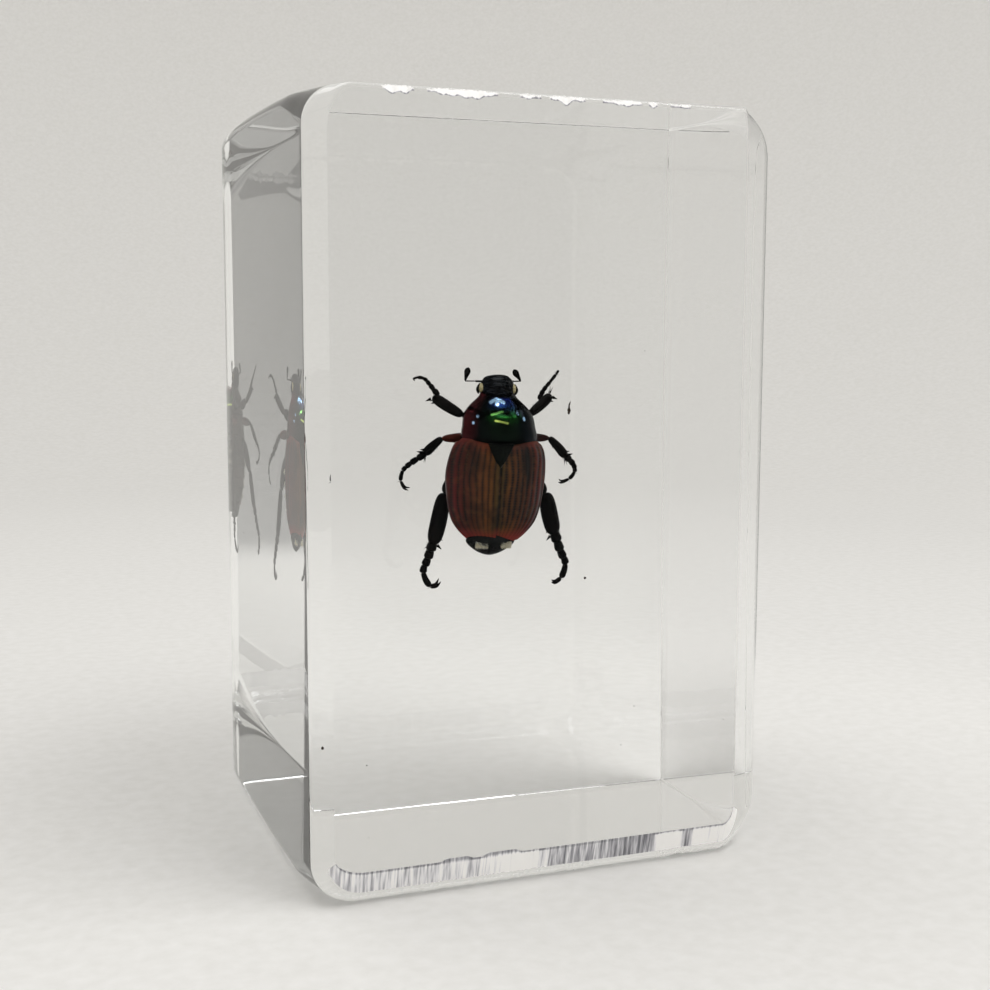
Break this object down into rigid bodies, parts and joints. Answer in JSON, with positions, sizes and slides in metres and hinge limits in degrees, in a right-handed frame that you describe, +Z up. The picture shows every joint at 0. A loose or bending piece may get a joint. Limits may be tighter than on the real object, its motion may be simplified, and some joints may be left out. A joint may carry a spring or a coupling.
{
  "type": "insect in resin block",
  "caption": "Upright clear cast resin block with rounded corners, bevelled front side edges and a worked lower rim, holding a beetle head-up at mid-depth.",
  "frame": {"origin": "middle of the flat underside of the block", "axes": "+Z up, -Y out of the front face, towards which the beetle's back is turned, +X to the right seen from the front"},
  "size_m": [0.0386, 0.0324, 0.061],
  "materials": {
    "resin": "polished clear cast resin",
    "dark_shell": "black-green insect shell with a metallic sheen",
    "wing_case": "grooved red-brown wing case",
    "ivory_hair": "short pale hair tufts",
    "eye": "pale faceted eye",
    "debris": "dull brown specks"
  },
  "bodies": {
    "root": {"resin_block": "resin"}
  },
  "joints": []
}
